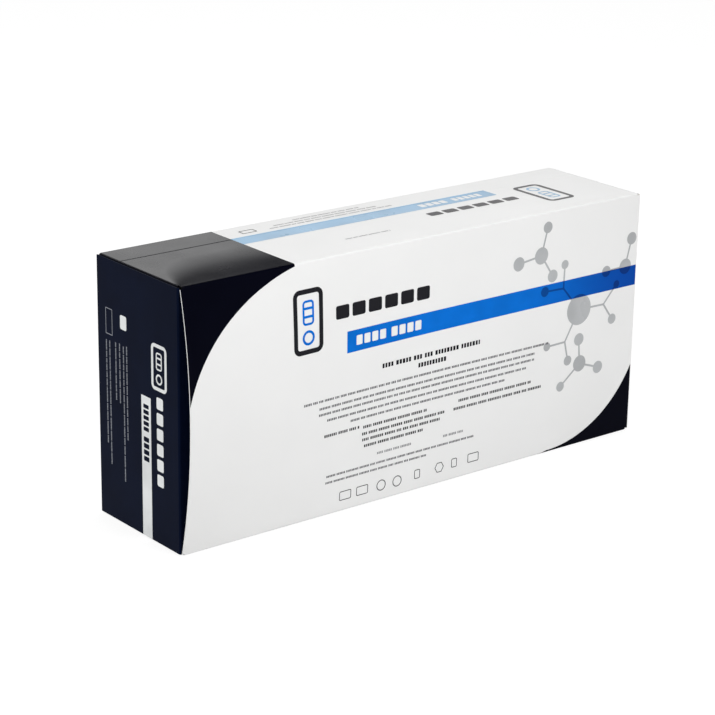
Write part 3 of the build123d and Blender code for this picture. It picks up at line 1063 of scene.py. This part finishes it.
def build_contents():
    """The packs and papers inside the carton."""
    size = node_size("cassette_pouch_01")[0]
    notch = size.x / 2 - notch_from_end
    pouches = []
    for seed in range(3):
        pouches.append(sealed_pack(f"pouch_{seed}", size, 2.1, pouch_skins(size, 10 * seed + 1), notch))
    show_copies("cassette_pouch_", pouches, foil_material(size))
    size = node_size("swab_pack_01")[0]
    wraps = []
    for seed in range(3):
        wraps.append(sealed_pack(f"swab_wrap_{seed}", size, 1.5, swab_skins(size, 10 * seed + 2)))
    show_copies("swab_pack_", wraps, wrap_material(size))
    size = node_size("reagent_vial_bag")[0]
    # The film's colour, which is also painted shade in the valleys between the vials, and the vials'
    # colour seen through the film
    vial_film_shade_and_contents = (0.62, 0.68, 0.74), (0.86, 0.89, 0.92)
    show_bag("reagent_vial_bag", size, Matrix.Identity(4), between_vials, vial_film_shade_and_contents, 3)
    size = node_size("extraction_tube_bag")[0]
    upright = Matrix.Rotation(-pi / 2, 4, "Y")
    # The film's colour, which is also painted shade in the valleys between the tubes, and the tubes'
    # colour seen through the film
    tube_film_shade_and_contents = (0.60, 0.66, 0.72), (0.88, 0.90, 0.92)
    size = Vector((size.z, size.y, size.x))
    show_bag("extraction_tube_bag", size, upright, between_tubes, tube_film_shade_and_contents, 4)
    nodes["folded_leaflet"].material_slots[0].material = leaflet_material()
    nodes["tube_rack_card"].material_slots[0].material = card_material()


build_contents()


def stage_material(name, shown):
    """A pale floor that the camera and reflections see as white, with the object's shadow."""
    material, tree, shader = shader_nodes(name)
    output = tree.nodes["Material Output"]
    tree.nodes.remove(shader)
    rays = add_node(tree, "ShaderNodeLightPath")
    seen = maths(tree, "MAXIMUM", rays.outputs["Is Camera Ray"], rays.outputs["Is Glossy Ray"])
    seen = maths(tree, "MAXIMUM", seen, rays.outputs["Is Transmission Ray"])
    glow = add_node(tree, "ShaderNodeEmission", {"Strength": maths(tree, "MULTIPLY", seen, shown)})
    pale = blend_colours(tree, seen, (0.7, 0.7, 0.7), (0.25, 0.25, 0.25))
    plain = add_node(tree, "ShaderNodeBsdfDiffuse", {"Color": pale})
    total = add_node(tree, "ShaderNodeAddShader", {0: glow.outputs[0], 1: plain.outputs[0]})
    tree.links.new(total.outputs[0], output.inputs[0])
    return material


def build_stage():
    """The floor under the carton."""
    reach = 6.0
    mesh = bpy.data.meshes.new("stage_floor")
    corners = [(-reach, -reach, 0), (reach, -reach, 0), (reach, reach, 0), (-reach, reach, 0)]
    mesh.from_pydata(corners, [], [(0, 1, 2, 3)])
    floor = bpy.data.objects.new("stage_floor", mesh)
    floor.location.z = -0.0002
    bpy.context.scene.collection.objects.link(floor)
    mesh.materials.append(stage_material("stage_white", 0.84))


def build_world():
    """Soft even light, and white where the camera and reflections look past the object."""
    world = bpy.data.worlds.new("studio")
    bpy.context.scene.world = world
    world.use_nodes = True
    tree = world.node_tree
    output = tree.nodes["World Output"]
    rays = add_node(tree, "ShaderNodeLightPath")
    seen = maths(tree, "MAXIMUM", rays.outputs["Is Camera Ray"], rays.outputs["Is Transmission Ray"])
    strength = ramp(tree, seen, 0.0, 1.0, world_light, 1.0)
    # Reflections see the white surround, and the dim room above it
    direction = add_node(tree, "ShaderNodeTexCoord").outputs["Generated"]
    height = split(tree, direction)[2]
    surround = ramp(tree, height, sin(radians(23)), sin(radians(37)), 1.0, 0.02)
    change = maths(tree, "SUBTRACT", surround, strength)
    strength = maths(tree, "MULTIPLY_ADD", change, rays.outputs["Is Glossy Ray"], strength)
    glow = add_node(tree, "ShaderNodeBackground", {"Color": (1, 1, 1, 1), "Strength": strength})
    tree.links.new(glow.outputs[0], output.inputs[0])


def add_lamp(name, place, target, size, power):
    """A square soft lamp that looks at a point."""
    lamp = bpy.data.lights.new(name, "AREA")
    lamp.shape = "SQUARE"
    lamp.size = size
    lamp.energy = power
    holder = bpy.data.objects.new(name, lamp)
    bpy.context.scene.collection.objects.link(holder)
    look = Vector(target) - Vector(place)
    holder.matrix_world = Matrix.Translation(place) @ look.to_track_quat("-Z", "Y").to_matrix().to_4x4()


def build_camera():
    """The camera where the photograph was taken from."""
    scene = bpy.context.scene
    camera = bpy.data.objects.new("camera", bpy.data.cameras.new("camera"))
    scene.collection.objects.link(camera)
    turn, tilt, roll = (radians(angle) for angle in camera_angles)
    ahead = Vector((sin(turn) * cos(tilt), cos(turn) * cos(tilt), -sin(tilt)))
    level = ahead.to_track_quat("-Z", "Y").to_matrix()
    camera.matrix_world = Matrix.Translation(camera_place) @ (
        level @ Matrix.Rotation(roll, 3, "Z")
    ).to_4x4()
    camera.data.sensor_width = 36.0
    camera.data.lens = camera_lens
    camera.data.clip_start = 0.01
    scene.camera = camera


build_stage()
build_world()
add_lamp("key_lamp", (-1.9, -1.1, 1.0), (0, 0, 0.05), 1.2, 21.0)
add_lamp("near_lamp", (-0.02, -0.38, 0.36), (-0.01, -0.03, 0.09), 0.15, 0.68)
add_lamp("top_lamp", (0.1, 0.3, 1.1), (0, 0, 0.1), 0.8, 3.0)
build_camera()

bpy.context.scene.view_settings.view_transform = "Standard"
